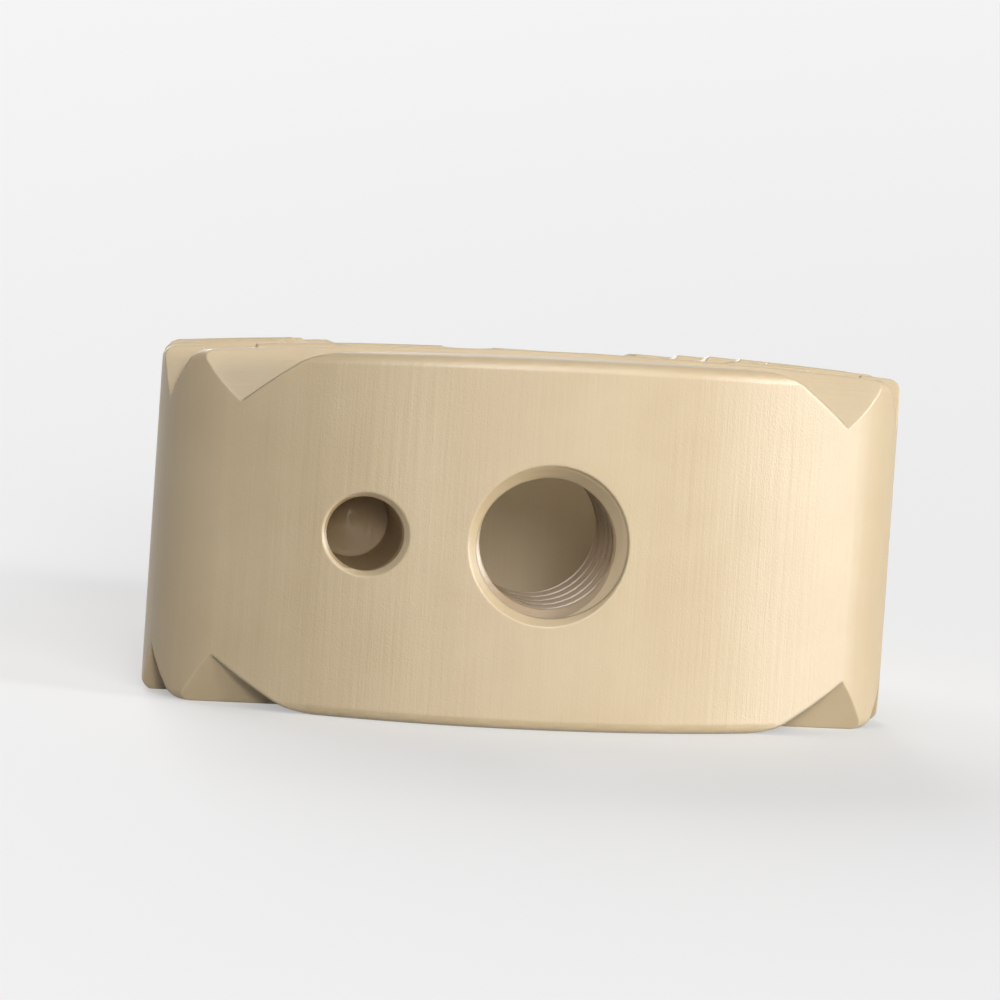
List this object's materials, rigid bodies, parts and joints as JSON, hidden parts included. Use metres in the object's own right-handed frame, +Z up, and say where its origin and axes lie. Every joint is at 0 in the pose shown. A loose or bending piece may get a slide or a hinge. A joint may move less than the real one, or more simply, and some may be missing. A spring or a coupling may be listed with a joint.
{
  "type": "cervical interbody cage",
  "caption": "Trapezoid ring implant with toothed, domed bearing faces, a graft window, a threaded inserter bore, a peg hole and pressed marker pins.",
  "frame": {"origin": "middle of the lower bearing face: the plan box's centre, in the plane of the lower tooth crests", "axes": "+X across the cage towards the patient's left, -Y out of the front wall where the inserter screws in, +Z up to the domed upper face"},
  "size_m": [0.014, 0.012, 0.007],
  "materials": {
    "peek": "natural PEEK, machined and tumbled to a satin finish",
    "tantalum": "drawn tantalum pin, ends left dull"
  },
  "bodies": {
    "root": {"cage_body": "peek", "marker_pin_front_left": "tantalum", "marker_pin_front_right": "tantalum", "marker_pin_rear": "tantalum"}
  },
  "joints": []
}
